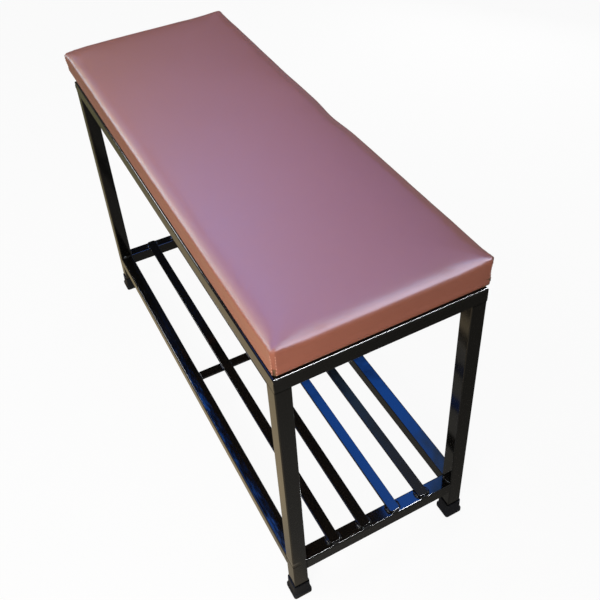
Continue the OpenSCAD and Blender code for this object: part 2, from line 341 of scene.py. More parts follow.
def gloss_black_paint():
    """Sprayed black with a slight peel and a little dust in it."""
    f = Finish("gloss_black_paint")
    peel = f.noise(130, detail=1)
    wave = f.noise(16, detail=2, stretch=(1, 1, 0.6))
    drift = f.noise(9, detail=2)
    dust = f.noise(900, detail=1).over(0.74, 0.8)
    y, z = f.axis(1), f.axis(2)
    streak = f.noise(26, detail=3, stretch=(0.35, 1, 1))
    under_slats = 1 - z.over(SHELF_TOP + 0.003, SHELF_TOP + 0.009)
    on_rail_top = z.over(SHELF_TOP - 0.005, SHELF_TOP - 0.001) * under_slats
    rolled_from = FRONT_LEFT.y + ROLLED_WIDTH + 0.009 * (streak - 0.5)
    rolled = (rolled_from - y).math("MAXIMUM", 0.0) * on_rail_top
    return f.surface(
        base_color=f.mix(dust * 0.3, (0.0032, 0.003, 0.0028), (0.03, 0.028, 0.025)),
        roughness=0.06 + 0.07 * drift + 0.06 * dust,
        specular_ior_level=0.5,
        normal=f.bump(0.015 * peel + wave - rolled * ROLLED_STEEP, 0.0016, 0.25),
    )


def foot_rubber():
    """Moulded black rubber, scuffed here and there."""
    f = Finish("foot_rubber")
    mottle = f.noise(60, detail=4)
    scuff = f.noise(25, detail=5, stretch=(1, 1, 4)).over(0.55, 0.75)
    grain = f.noise(1500, detail=1)
    return f.surface(
        base_color=f.mix(scuff * 0.5, (0.0105, 0.0115, 0.0145), (0.028, 0.03, 0.036)),
        roughness=0.36 + 0.2 * mottle,
        specular_ior_level=0.16,
        normal=f.bump(grain + 2 * mottle, 0.0004, 0.25),
    )


def leatherette():
    """Reddish brown coated cloth with a fine pebbled face."""
    f = Finish("leatherette")
    cells = {"Vector": f.place, "Scale": 1100, "Smoothness": 0.6}
    pebble = f.add("TexVoronoi", {"feature": "SMOOTH_F1"}, cells)
    fine = f.noise(2600, detail=2)
    shade = f.noise(7)
    mottle = f.noise(55)
    tone = 0.25 + 0.35 * shade + 0.2 * mottle
    return f.surface(
        base_color=f.mix(tone, (0.276, 0.085, 0.051), (0.342, 0.112, 0.068)),
        roughness=0.32 + 0.05 * shade + 0.04 * mottle,
        specular_ior_level=0.8,
        normal=f.bump(pebble * 0.8 + fine * 0.3, 0.0002, 0.35),
    )


def seat_plywood():
    """Plywood grained along its length, darkened overall as painted shade for the shade under the seat."""
    f = Finish("seat_plywood")
    where = f.add("Mapping", None, {"Vector": f.place, "Scale": (1.2, 14, 14)})
    wander = f.add("TexNoise", None, {"Vector": where, "Scale": 3, "Detail": 4, "Distortion": 0.7})
    rings = {"Vector": where, "Scale": 2.2, "Distortion": 7, "Detail": 3}
    grain = f.add("TexWave", {"bands_direction": "Y"}, rings)
    pore = f.noise(420, detail=2, stretch=(0.05, 1, 1)).over(0.5, 0.7)
    # the grain's tones are kept dark as painted shade, because the board lies in the shade under the seat
    tone = f.mix(0.6 * grain + 0.4 * wander, (0.17, 0.095, 0.05), (0.09, 0.05, 0.027))
    return f.surface(
        base_color=f.mix(pore * 0.4, tone, (0.12, 0.065, 0.03)),
        roughness=0.62 + 0.15 * wander,
        normal=f.bump(grain - 0.5 * pore, 0.0003, 0.3),
    )


def zinc_steel():
    """Plated screws and staples."""
    f = Finish("zinc_steel")
    cloud = f.noise(240)
    return f.surface(
        base_color=f.mix(cloud, (0.5, 0.5, 0.5), (0.66, 0.66, 0.64)),
        metallic=1.0,
        roughness=0.26 + 0.2 * cloud,
        normal=f.bump(cloud, 0.0002, 0.2),
    )


def sewing_thread():
    f = Finish("sewing_thread")
    twist = f.noise(2500, detail=1)
    return f.surface(
        base_color=f.mix(twist, (0.62, 0.3, 0.22), (0.74, 0.42, 0.32)),
        roughness=0.6 + 0.2 * twist,
        normal=f.bump(twist, 0.0002, 0.4),
    )


PAINT = gloss_black_paint()
RUBBER = foot_rubber()
LEATHERETTE = leatherette()
THREAD_FINISH = sewing_thread()

FINISH_OF_SLOT = {
    "black_paint": PAINT,
    "foot_rubber": RUBBER,
    "leatherette": LEATHERETTE,
    "plywood": seat_plywood(),
    "foam": LEATHERETTE,
    "zinc_steel": zinc_steel(),
}


def dress_nodes():
    """Every node of the frame gets the finish of its slot."""
    for part in frame["record"]["subparts"]:
        mesh = frame["nodes"][part["node"]].data
        mesh.materials.clear()
        mesh.materials.append(FINISH_OF_SLOT[part["material_slot"]])


# the seat before it is filled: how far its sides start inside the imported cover, and its rounds
START_INSET = 0.0012
FRONT_INSET = 0.002
NEAR_INSET = 0.0022
START_TOP = 0.0472
WIDE_ROUND = 0.019
TIGHT_ROUND = 0.0055
WIDE_BAND = 0.008
CORNER_ROUND = 0.006
FOOT_ROUND = 0.0015
VOXEL = 0.0055


def padded_box():
    """A box with rounded upright corners, and top edges rounded widely at the near end and the front."""
    low = SEAT_LOW + Vector((START_INSET, FRONT_INSET, 0))
    high = Vector((NEAR_X - NEAR_INSET, BACK_Y - START_INSET, FRAME_TOP + START_TOP))
    seat = cube("seat_cushion", low, high)
    bevel_edges(seat, lambda at, way: abs(way.z) > 0.9, CORNER_ROUND, steps=5)
    share = seat.data.attributes.new("bevel_weight_edge", "FLOAT", "EDGE")
    tight = TIGHT_ROUND / WIDE_ROUND
    for edge in seat.data.edges:
        a, b = (seat.data.vertices[i].co for i in edge.vertices)
        at = (a + b) / 2
        if at.z > high.z - HAIR:
            wide = max(smoothstep(at.x - high.x, -WIDE_BAND, 0), 1 - smoothstep(at.y - low.y, 0, WIDE_BAND))
            share.data[edge.index].value = tight + (1 - tight) * wide
    finish_with(seat, "BEVEL", width=WIDE_ROUND, segments=6, limit_method="WEIGHT")
    bevel_edges(seat, lambda at, way: at.z < low.z + HAIR, FOOT_ROUND, steps=2)
    seat.data.remesh_voxel_size = VOXEL
    only(seat)
    bpy.ops.object.voxel_remesh()
    return seat


# filling: the band at the foot that is held, the cloth, and the most that a firm cushion swells
HELD_BAND = 0.012
FILL_FRAMES = 20
AIR_PRESSURE = 4
STRETCH_STIFFNESS = 15
BENDING_STIFFNESS = 0.6
MOST_RISE = 0.0012
RISE_RUN = 0.004
MOST_BULGE = 0.0014


def fill(seat):
    """Air pressure swells the leatherette over its foam, while its foot is held round the board."""
    before = [v.co.copy() for v in seat.data.vertices]
    held = seat.vertex_groups.new(name="held")
    for v in seat.data.vertices:
        weight = 1 - smoothstep(v.co.z - FRAME_TOP, HELD_BAND * 0.5, HELD_BAND)
        if weight > 0:
            held.add([v.index], weight, "REPLACE")
    cloth = only(seat).modifiers.new("Cloth", "CLOTH")
    cloth.settings.quality = 5
    cloth.settings.use_pressure = True
    cloth.settings.uniform_pressure_force = AIR_PRESSURE
    cloth.settings.vertex_group_mass = "held"
    cloth.settings.effector_weights.gravity = 0
    cloth.settings.tension_stiffness = STRETCH_STIFFNESS
    cloth.settings.compression_stiffness = STRETCH_STIFFNESS
    cloth.settings.bending_stiffness = BENDING_STIFFNESS
    cloth.collision_settings.use_collision = False
    cloth.point_cache.frame_start, cloth.point_cache.frame_end = 1, FILL_FRAMES
    for number in range(1, FILL_FRAMES + 1):
        bpy.context.scene.frame_set(number)
    only(seat)
    bpy.ops.object.modifier_apply(modifier=cloth.name)
    bpy.context.scene.frame_set(1)
    for v, start in zip(seat.data.vertices, before):
        way = v.co - start
        aside = Vector((way.x, way.y, 0))
        if aside.length > 1e-9:
            aside = aside.normalized() * MOST_BULGE * math.tanh(aside.length / MOST_BULGE)
        v.co = start + aside + Vector((0, 0, MOST_RISE * math.tanh(way.z / RISE_RUN)))
    seat.vertex_groups.clear()
    return seat


# the top: its crown, and how it rolls and folds down to the near and front edges
CROWN = 0.0036
CROWN_RUN = 0.03
ROLL_DROP = 0.0045
ROLL_RUN = 0.0147
FOLD_DROP = 0.003
FOLD_RUN = 0.006
CORNER_KEEPS = 0.04

# the seat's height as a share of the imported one, from front to back, and the dip at the far left corner
FAR_HEIGHT = (0.935, 0.995)
NEAR_HEIGHT = (0.975, 1.015)
DIP = 0.13
DIP_REACH = 0.028

# the back's line: full towards the far end, drawn in where its waist is
BACK_FULL = 0.0042
BACK_FULL_FROM, BACK_FULL_TO = 0.12, 0.42
WAIST = 0.0042
WAIST_AT, WAIST_WIDTH = 0.03, 0.045
BACK_IN = 0.0008

# each corner's place, how far its ear stands out and up, its reach, and the height that it starts at
EARS = (
    (NEAR_X, BACK_Y, -0.0008, 0.0016, 0.022, 0.018),
    (FAR_X, BACK_Y, 0.0002, 0.0016, 0.036, 0.018),
    (NEAR_X, FRONT_Y, 0.001, 0.0011, 0.019, 0.018),
    (FAR_X, FRONT_Y, 0.0028, 0.0004, 0.03, 0.006),
)
EAR_RISE = 0.022

# how the near right corner's foot is tucked in, and the size of the lumps along the edges
TUCK_X, TUCK_Y = 0.0008, 0.0012
TUCK_REACH = 0.02
TUCK_ENDS = (0.02, 0.042)
LUMP = 0.0004
LUMPS_START = (0.006, 0.02)

# from where to where each change sets in: inwards from the edge, or up from the frame
EDGE_BAND = (0.004, 0.045)
TOP_PART = (0.012, 0.04)
BACK_BAND = (-0.04, -0.004)
ABOVE_FOOT = (0.004, 0.04)


def roll_drop(x, y):
    """How far the top falls here towards the near and front edges. The corners keep their height."""
    to_roll = max(min(NEAR_X - x, y - FRONT_Y), 0)
    to_corner = math.hypot(min(x - FAR_X, NEAR_X - x), min(y - FRONT_Y, BACK_Y - y))
    drop = ROLL_DROP * math.exp(-to_roll / ROLL_RUN) + FOLD_DROP * math.exp(-to_roll / FOLD_RUN)
    return drop * (1 - hump(to_corner, CORNER_KEEPS))


def height_share(x, y):
    """The seat is a little lower at the far end and at the front, and dips at the far left corner."""
    s, t = (x - FAR_X) / SEAT_LENGTH, (y - FRONT_Y) / SEAT_DEPTH
    far_left = math.hypot(x - FAR_X, y - FRONT_Y)
    return between(FAR_HEIGHT, t) * (1 - s) + between(NEAR_HEIGHT, t) * s - DIP * hump(far_left, DIP_REACH)


def back_line(x):
    """How far the back stands out here past a straight line."""
    full = BACK_FULL * smoothstep(-x, BACK_FULL_FROM, BACK_FULL_TO)
    return full - WAIST * hump(x, WAIST_WIDTH, WAIST_AT) - BACK_IN


def lumps_at(x, y, z):
    """Lumps of the foam under the leatherette, a coarse kind and a fine one, from about -1.5 to 1.5."""
    coarse = noise.noise(Vector((x * 17, y * 17, z * 30)))
    fine = noise.noise(Vector((x * 45, y * 45, z * 60 + 9)))
    return coarse + 0.5 * fine


def drape(seat):
    """What hand work gives the filled box: uneven corners and edges, and lumps along the sides."""
    normals = [v.normal.copy() for v in seat.data.vertices]
    for v, normal in zip(seat.data.vertices, normals):
        x, y, z = v.co
        up = z - FRAME_TOP
        edge = max(min(x - FAR_X, NEAR_X - x, y - FRONT_Y, BACK_Y - y), 0)
        at_edge = 1 - smoothstep(edge, *EDGE_BAND)
        raised = smoothstep(up, *TOP_PART)
        near_right = math.hypot(x - NEAR_X, y - BACK_Y)
        up += (CROWN * (1 - math.exp(-edge / CROWN_RUN)) - roll_drop(x, y)) * raised
        z = FRAME_TOP + up * (1 + (height_share(x, y) - 1) * raised)
        y += back_line(x) * smoothstep(y - BACK_Y, *BACK_BAND) * smoothstep(up, *ABOVE_FOOT)
        for corner_x, corner_y, out, lift, reach, foot in EARS:
            ear = hump(math.hypot(x - corner_x, y - corner_y), reach) * smoothstep(up, foot, foot + EAR_RISE)
            x += math.copysign(out, corner_x) * ear
            y += math.copysign(out, corner_y) * ear
            z += lift * ear
        tuck = hump(near_right, TUCK_REACH) * (1 - smoothstep(up, *TUCK_ENDS))
        x, y = x - TUCK_X * tuck, y - TUCK_Y * tuck
        push = LUMP * lumps_at(x, y, z) * at_edge * smoothstep(up, *LUMPS_START)
        v.co = Vector((x, y, z)) + normal * push
    return seat


# the sewn seams at the corners, whose width is an angle in radians
SEAM_INSET = 0.012
SEAM_DEPTH = 0.0008
SEAM_WIDTH = 0.2
SEAM_TOP = 0.047
SEAM_START = (0.001, 0.006)
SEAM_SIDE = (0.004, 0.009)

# the short pleats that gather above the seams
PLEAT_DEPTH = 0.00035
PLEATS_TO_A_TURN = 9
PLEATS_AT, PLEATS_RISE, PLEATS_REACH = 0.041, 0.009, 0.024
PLEATS_MIDDLE = (0.002, 0.008)
GATHER_REACH = 0.06


def seam_axis(sx, sy):
    """The upright line that a corner's round turns about, on the floor plan."""
    aside, ahead = SEAT_LENGTH / 2 - SEAM_INSET, SEAT_DEPTH / 2 - SEAM_INSET
    return Vector((SEAT_MIDDLE.x + sx * aside, SEAT_MIDDLE.y + sy * ahead, 0))


def gather_corners(seat):
    """The sewn upright seams draw the corners in, and the top gathers into short pleats above them."""
    normals = [v.normal.copy() for v in seat.data.vertices]
    for v, normal in zip(seat.data.vertices, normals):
        up = v.co.z - FRAME_TOP
        for sx, sy in CORNERS:
            axis = seam_axis(sx, sy)
            reach = Vector((v.co.x - axis.x, v.co.y - axis.y))
            if reach.length > GATHER_REACH:
                continue
            across = math.atan2(reach.y * sy, reach.x * sx) - math.pi / 4
            on_side = smoothstep(reach.length, *SEAM_SIDE)
            groove = hump(across, SEAM_WIDTH) * on_side * smoothstep(up, *SEAM_START) * (up < SEAM_TOP)
            top = hump(up, PLEATS_RISE, PLEATS_AT) * hump(reach.length, PLEATS_REACH)
            pleats = math.cos(across * PLEATS_TO_A_TURN) * top * smoothstep(reach.length, *PLEATS_MIDDLE)
            v.co -= normal * (SEAM_DEPTH * groove + PLEAT_DEPTH * pleats)
    return seat


# the foot of the cushion: the band that is drawn in, what is laid flat, how far it turns under and how high
FOOT_BAND = 0.008
FOOT_FLAT = 0.0004
FOOT_TUCK = 0.002
FOOT_RISE = 0.0055


def tuck_foot(seat):
    """The leatherette turns under at the foot in a small round, and lies flat on the frame."""
    band = Vector((FOOT_BAND, FOOT_BAND, 0))
    low, high = SEAT_LOW + band, SEAT_HIGH - band
    for v in seat.data.vertices:
        up = v.co.z - FRAME_TOP
        if up < FOOT_FLAT:
            v.co.z = FRAME_TOP
        if up < FOOT_RISE:
            draw = FOOT_TUCK * (1 - up / FOOT_RISE) ** 2
            v.co.x -= draw * ((v.co.x > high.x) - (v.co.x < low.x))
            v.co.y -= draw * ((v.co.y > high.y) - (v.co.y < low.y))
    return seat


# the strip of leatherette that is turned in under the board, and the board's play inside
STRIP_WIDTH = 0.045
STRIP_THICK = 0.0012
BOARD_PLAY = 0.0003


def hollow_for_board(seat):
    """Room for the board inside, open below where the leatherette's turned-in strip ends."""
    low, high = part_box("seat_board")
    play = Vector((BOARD_PLAY, BOARD_PLAY, BOARD_PLAY))
    room = cube("room_for_board", low - Vector((BOARD_PLAY, BOARD_PLAY, 0)), high + play)
    select_faces(room, lambda at, normal: normal.z < -0.9)
    bpy.ops.mesh.inset(thickness=STRIP_WIDTH - (low.x - SEAT_LOW.x) + BOARD_PLAY)
    extrude_up(-4 * STRIP_THICK)
    bpy.ops.object.mode_set(mode="OBJECT")
    finish_with(seat, "BOOLEAN", object=room, operation="DIFFERENCE", solver="EXACT")
    bpy.data.objects.remove(room)
    return seat


def make_seat():
    seat = padded_box()
    fill(seat)
    drape(seat)
    finish_with(seat, "SUBSURF", levels=1, render_levels=1)
    gather_corners(seat)
    tuck_foot(seat)
    hollow_for_board(seat)
    smooth(seat, angle=35)
    return hand_over(seat, LEATHERETTE, "leatherette", "seat_cover", "seat_foam")


# the stitches, in two rows on either side of each corner's seam, set apart by an angle in radians
STITCH_LENGTH = 0.0026
STITCH_PITCH = 0.0054
THREAD = 0.00042
ROW_APART = 0.33
STITCH_FOOT, STITCH_TOP = 0.0035, 0.041

# where a stitch is cut to bend, as shares of its length, and how it rises, bends and draws together
STITCH_CUTS = (-0.35, -0.12, 0.12, 0.35)
STITCH_RISE, STITCH_BEND, STITCH_PULL = 0.9, 2.1, 0.1

# how far from a seam's axis the search for the seat's surface starts
OUTSIDE_SEAT = 0.05


def one_stitch():
    """A thread's visible run: a short rod along X whose ends bend down into the holes."""
    drop_selection()
    lying = (0, math.pi / 2, 0)
    bpy.ops.mesh.primitive_cylinder_add(vertices=8, radius=THREAD, depth=STITCH_LENGTH, rotation=lying)
    stitch = settle(name_new("one_stitch"))
    bpy.ops.object.mode_set(mode="EDIT")
    for share in STITCH_CUTS:
        bpy.ops.mesh.select_all(action="SELECT")
        bpy.ops.mesh.bisect(plane_co=(share * STITCH_LENGTH, 0, 0), plane_no=(1, 0, 0))
    bpy.ops.object.mode_set(mode="OBJECT")
    for v in stitch.data.vertices:
        end = abs(v.co.x) / (STITCH_LENGTH / 2)
        v.co.z += THREAD * (STITCH_RISE - STITCH_BEND * end ** 3)
        v.co.x *= 1 - STITCH_PULL * end
    return stitch


def stitch_places(seat):
    """Where each stitch lies on the seat, with X up along the seam and Z out of the surface."""
    places = []
    for sx, sy in CORNERS:
        axis = seam_axis(sx, sy)
        for row in (-1, 1):
            turn = math.pi / 4 + row * ROW_APART
            out = Vector((sx * math.cos(turn), sy * math.sin(turn), 0))
            height = FRAME_TOP + STITCH_FOOT
            while height < FRAME_TOP + STITCH_TOP:
                start = Vector((axis.x, axis.y, height)) + out * OUTSIDE_SEAT
                hit, point, normal, _ = seat.ray_cast(start, -out)
                if hit:
                    along = (Vector((0, 0, 1)) - normal * normal.z).normalized()
                    turned = Matrix((along, normal.cross(along), normal)).transposed().to_4x4()
                    places.append(Matrix.Translation(point) @ turned)
                height += STITCH_PITCH
    return places


def make_stitches(seat):
    stitch = one_stitch()
    copies = [copy_of(stitch, place) for place in stitch_places(seat)]
    bpy.data.objects.remove(stitch)
    return hand_over(join("corner_stitches", copies, angle=60), THREAD_FINISH, "leatherette")


# the shelf's flat bars: their rolled edges, their ends, and each slat's twist from its weld in degrees
BAR_EDGE = 0.0009
SLAT_END = 0.005
CROSS_BAR_END = 0.0008
SLAT_TWISTS = (0.6, 0.4, -1.0, -3.8)


def make_bar(node, end_round, twist=0.0):
    """A flat bar in place of its node, with rolled edges and its ends ground round."""
    low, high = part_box(node)
    bar = cube(node + "_bar", low, high)

    def at_face(at, way):
        return abs(way.z) < 0.1 and (at.z > high.z - HAIR or at.z < low.z + HAIR)

    bevel_edges(bar, lambda at, way: abs(way.z) > 0.9, end_round, steps=6)
    bevel_edges(bar, at_face, BAR_EDGE, steps=3)
    if twist:
        middle = (low + high) / 2
        turn = Matrix.Rotation(math.radians(twist), 4, "X")
        bar.data.transform(Matrix.Translation(middle) @ turn @ Matrix.Translation(-middle))
    smooth(bar, angle=50)
    finish_with(bar, "WEIGHTED_NORMAL", weight=100, keep_sharp=True)
    return hand_over(bar, PAINT, "black_paint", node)


# the foot caps: how much narrower the sleeve and the hollow are than the base, and each step's height
CAP_STEP = 0.004
CAP_HOLLOW = 0.008
CAP_FLARE = 0.0012
CAP_LEAN = 0.0003
CAP_BASE, CAP_SLOPE, CAP_SHOULDER = 0.0065, 0.0018, 0.0015
CAP_DEPTH = 0.0248
CAP_CORNER = 0.0042
CAP_EDGE = 0.0007


def make_foot_cap(node):
    """A moulded cap: a flared base with soft edges, a sleeve that leans in a little, and a rounded rim."""
    low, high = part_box(node)
    middle = (low + high) / 2
    base = high.x - low.x
    sleeve, inside = base - CAP_STEP, base - CAP_HOLLOW
    cap = cube(node + "_moulded", low, Vector((high.x, high.y, low.z + CAP_BASE)))
    select_faces(cap, lambda at, normal: normal.z > 0.9)
    up_to_rim = high.z - low.z - CAP_BASE - CAP_SLOPE - CAP_SHOULDER
    for rise, width in (
        (CAP_SLOPE, sleeve + CAP_FLARE),
        (CAP_SHOULDER, sleeve),
        (up_to_rim, sleeve - CAP_LEAN),
    ):
        extrude_up(rise)
        shape = bmesh.from_edit_mesh(cap.data)
        for v in (v for v in shape.verts if v.select):
            v.co.x = middle.x + math.copysign(width / 2, v.co.x - middle.x)
            v.co.y = middle.y + math.copysign(width / 2, v.co.y - middle.y)
        bmesh.update_edit_mesh(cap.data)
    bpy.ops.mesh.inset(thickness=(sleeve - CAP_LEAN - inside) / 2)
    extrude_up(-CAP_DEPTH)
    bpy.ops.object.mode_set(mode="OBJECT")

    def outer_upright(at, way):
        aside = max(abs(at.x - middle.x), abs(at.y - middle.y))
        return abs(way.z) > 0.5 and aside > inside / 2 + CAP_LEAN

    bevel_edges(cap, outer_upright, CAP_CORNER, steps=5)
    finish_with(cap, "BEVEL", width=CAP_EDGE, segments=3, limit_method="ANGLE", angle_limit=math.radians(30))
    smooth(cap, angle=50)
    return hand_over(cap, RUBBER, "foot_rubber", node)


# the weld beads
WELD_LUMPS = bpy.data.textures.new("weld_lumps", "CLOUDS")
WELD_LUMPS.noise_scale = 0.0046
WELD_LUMPS.noise_depth = 1
BLUNTNESS = 0.8

# half of a bead's run across a tube, and across and along the end of a slat
RUN = 0.0095
SLAT_ACROSS = 0.0075
SLAT_ALONG = 0.0165

# each kind of bead's thickness and how lumpy it is
MITRE_INSIDE = (0.0018, 0.0014)
MITRE_OUTSIDE = (0.0015, 0.0016)
LEG_TOP = (0.0016, 0.0012)
SHELF_ABOVE = (0.0034, 0.003)
SHELF_BELOW = (0.0042, 0.003)
SLAT_SIDE = (0.0034, 0.0014)
SLAT_FRONT = (0.0028, 0.0013)
CROSS_BAR = (0.0022, 0.0026)

# how deep a mitre's outer bead lies in from the tube's corner, and how far the mitre beads stop short
MITRE_IN = 0.0011
MITRE_SHORT = 0.003
MITRE_SHORT_BELOW, MITRE_SHORT_ABOVE = 0.002, 0.0022

# where a slat's side beads start, how far beside it and how high they lie, and the same for its front bead
SIDE_START, SIDE_BESIDE, SIDE_UP = 0.001, 0.0006, 0.0008
FRONT_OUT, FRONT_UP = 0.0004, 0.0004

# how unevenly a slat's beads are laid: at the start, the end, beside it, in thickness and across its end
UNEVEN_START, UNEVEN_END, UNEVEN_BESIDE, UNEVEN_THICK, UNEVEN_ACROSS = 0.001, 0.002, 0.0006, 0.0004, 0.001

# the cross bar's beads: half their run, how far beside a slat, and how far short of the bar's sides
CROSS_RUN, CROSS_BESIDE, CROSS_SHORT = 0.005, 0.0005, 0.001


def bead(name, start, end, kind, thicker=0.0):
    """One uneven bead along a joint: a drawn-out ball with blunt ends, roughened by lumps."""
    start, end = Vector(start), Vector(end)
    thick, lump = kind[0] + thicker, kind[1]
    drop_selection()
    bpy.ops.mesh.primitive_ico_sphere_add(subdivisions=4, radius=1)
    piece = name_new(name)
    length = (end - start).length / 2
    turn = (end - start).to_track_quat("X", "Z").to_matrix().to_4x4()
    for v in piece.data.vertices:
        v.co.x = math.copysign(abs(v.co.x) ** BLUNTNESS, v.co.x) * length
        v.co.y *= thick
        v.co.z *= thick
    piece.data.transform(Matrix.Translation((start + end) / 2) @ turn)
    lumps = {"texture": WELD_LUMPS, "texture_coords": "LOCAL", "mid_level": 0.5}
    return finish_with(piece, "DISPLACE", strength=lump, **lumps)


def runs_round_leg(x, y, sx, sy, z):
    """The two runs along a leg's inner faces at this height, as pairs of ends."""
    leg_x, leg_y = x + sx * TUBE / 2, y + sy * TUBE / 2
    return (
        ((x, leg_y - RUN, z), (x, leg_y + RUN, z)),
        ((leg_x - RUN, y, z), (leg_x + RUN, y, z)),
    )


def mitre_beads(x, y, sx, sy):
    """The upright seams of a top corner's mitre, on its inside and on its outside."""
    inner = bead("mitre", (x, y, RAIL_UNDER + MITRE_SHORT), (x, y, FRAME_TOP - MITRE_SHORT), MITRE_INSIDE)
    out = TUBE - MITRE_IN
    low_end = (x + sx * out, y + sy * out, RAIL_UNDER + MITRE_SHORT_BELOW)
    high_end = (x + sx * out, y + sy * out, FRAME_TOP - MITRE_SHORT_ABOVE)
    return [inner, bead("mitre", low_end, high_end, MITRE_OUTSIDE)]


def slat_end_beads(node, rng):
    """A bead along each side of a slat's two ends, and one across each end."""

    def wobble(size):
        return rng.uniform(-size, size)

    beads = []
    low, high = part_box(node)
    for end, sx in ((low.x, 1), (high.x, -1)):
        for y, sy in ((low.y, -1), (high.y, 1)):
            y += sy * SIDE_BESIDE
            z = SHELF_TOP + SIDE_UP
            a = (end + sx * (SIDE_START + wobble(UNEVEN_START)), y + wobble(UNEVEN_BESIDE), z)
            b = (end + sx * (SLAT_ALONG + wobble(UNEVEN_END)), y + wobble(UNEVEN_BESIDE), z)
            beads.append(bead("slat", a, b, SLAT_SIDE, wobble(UNEVEN_THICK)))
        across = Vector((end - sx * FRONT_OUT, (low.y + high.y) / 2, SHELF_TOP + FRONT_UP))
        half = Vector((0, SLAT_ACROSS + wobble(UNEVEN_ACROSS), 0))
        beads.append(bead("slat", across - half, across + half, SLAT_FRONT))
    return beads


def cross_bar_beads():
    """A short bead where each slat crosses the bar, and one under each end of the bar."""
    low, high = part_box("shelf_cross_bar")
    middle = (low.x + high.x) / 2
    runs = []
    for node in SLATS:
        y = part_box(node)[1].y + CROSS_BESIDE
        runs.append(((middle - CROSS_RUN, y, SHELF_TOP), (middle + CROSS_RUN, y, SHELF_TOP)))
    for y in (low.y, high.y):
        runs.append(((low.x + CROSS_SHORT, y, low.z), (high.x - CROSS_SHORT, y, low.z)))
    return [bead("cross", a, b, CROSS_BAR) for a, b in runs]


def make_welds():
    rng = random.Random(7)
    top, legs, shelf, slats = [], [], [], []
    for x, sx in zip(LEGS_X, (-1, 1)):
        for y, sy in zip(LEGS_Y, (-1, 1)):
            top += mitre_beads(x, y, sx, sy)
            legs += [bead("leg", a, b, LEG_TOP) for a, b in runs_round_leg(x, y, sx, sy, RAIL_UNDER)]
            for z, kind in ((SHELF_TOP, SHELF_ABOVE), (SHELF_UNDER, SHELF_BELOW)):
                shelf += [bead("shelf", a, b, kind) for a, b in runs_round_leg(x, y, sx, sy, z)]
    for node in SLATS:
        slats += slat_end_beads(node, rng)
    for name, beads, node in (
        ("top_corner_weld_beads", top, "top_corner_welds"),
        ("leg_weld_beads", legs, "leg_welds"),
        ("shelf_rail_weld_beads", shelf, "shelf_rail_welds"),
        ("slat_weld_beads", slats, "slat_welds"),
        ("cross_bar_weld_beads", cross_bar_beads(), "cross_bar_welds"),
    ):
        hand_over(join(name, beads, angle=80), PAINT, "black_paint", node)


# the floor: its size, how far it lies below the feet, and how white a camera sees it
FLOOR_SIZE = 14
FLOOR_BELOW = 0.0005
FLOOR_WHITE = 0.93


def make_floor():
    """White as seen, but for the soft shadow. Gloss sees a painted reflection: sunlit ground in front, shaded
    ground elsewhere.
    """
    drop_selection()
    bpy.ops.mesh.primitive_plane_add(size=FLOOR_SIZE, location=(0, 0, -FLOOR_BELOW))
    floor = settle(name_new("floor"))
    f = Finish("pale_floor")
    pale = f.add("BsdfDiffuse", None, {"Color": f.mix(f.noise(1.5), (0.87, 0.87, 0.865), (0.9, 0.9, 0.9))})
    x, y = f.axis(0), f.axis(1)
    cloud = f.noise(5, detail=2)
    # painted reflection for gloss alone: sunlit ground in a strip in front of the bench, shaded ground under
    # and behind it, grey far off
    in_front = (1 - y.over(-0.18, -0.12)) * y.over(-1.2, -0.9) * x.over(-2.6, -2.2)
    sunlit_ground_share = in_front * (1 - 0.55 * x.over(0.26, 0.42))
    painted_sunlit_ground = f.mix(x.over(-1.25, 0.25) * 0.85 + 0.15 * cloud, (0.15, 0.145, 0.075), (0.68, 0.54, 0.34))
    distance = f.add("VectorMath", {"operation": "LENGTH"}, {0: f.place}, out="Value")
    painted_shaded_ground = f.mix(y.over(-0.25, 0.4), (0.215, 0.205, 0.185), (0.085, 0.08, 0.068))
    painted_shaded_ground = f.mix(distance.over(1.6, 4.0), painted_shaded_ground, (0.5, 0.5, 0.5))
    seen = f.blend(f.any_ray("Camera", "Transmission") * FLOOR_WHITE, pale, f.emission((1, 1, 1, 1)))
    # glossy rays see the painted reflection as emission, though the floor is no lamp
    f.end(f.blend(f.any_ray("Glossy"), seen, f.emission(f.mix(sunlit_ground_share, painted_shaded_ground, painted_sunlit_ground))))
    floor.data.materials.append(f.material)


# the world: which ways lie past the far end and to the right of it, and the strength of its soft light
FAR_WAY = Vector((-0.906, 0.423, 0))
RIGHT_WAY = Vector((0.423, 0.906, 0))
SOFT_LIGHT = 0.36


def make_world():
    """Even soft light. Gloss meets a blue sky past the far end, a dark wall below it, slate grey beside."""
    f = Finish("studio", "World")
    height, far, right = f.axis(2), f.along(FAR_WAY), f.along(RIGHT_WAY)
    wall = f.mix(height.over(0.3, 0.55), (0.1, 0.085, 0.075), (0.02, 0.022, 0.03))
    sky = f.mix(height.over(0.73, 0.765), wall, (0.13, 1.0, 4.7))
    slate = f.mix(right.over(0.13, 0.2), (0.3, 0.6, 1.0), (0.25, 0.27, 0.35))
    sky = f.mix(right.over(0.12, 0.155), sky, slate)
    sky = f.mix(height.over(0.86, 0.93), sky, (2.2, 3.2, 6.5))
    met = f.mix(far.over(0.1, 0.3), (0.45, 0.45, 0.45), sky)
    soft = f.background((0.97, 0.98, 1, 1), SOFT_LIGHT)
    seen = f.blend(f.any_ray("Camera", "Transmission"), soft, f.background((1, 1, 1, 1)))
    f.end(f.blend(f.any_ray("Glossy"), seen, f.background(met)))
    bpy.context.scene.world = f.material


# lamps
def group(name, wanted):
    """The pieces that a lamp's highlights are kept to."""
    members = bpy.data.collections.new(name)
    for piece in list(bpy.context.scene.objects):
        if piece.type == "MESH" and wanted(piece):
            members.objects.link(piece)
    return members


def from_way(aim, azimuth, elevation, distance=3.0):
    """A place in that direction from the aim, with its angles in degrees."""
    a, e = math.radians(azimuth), math.radians(elevation)
    way = Vector((math.cos(e) * math.cos(a), math.cos(e) * math.sin(a), math.sin(e)))
    return Vector(aim) + distance * way


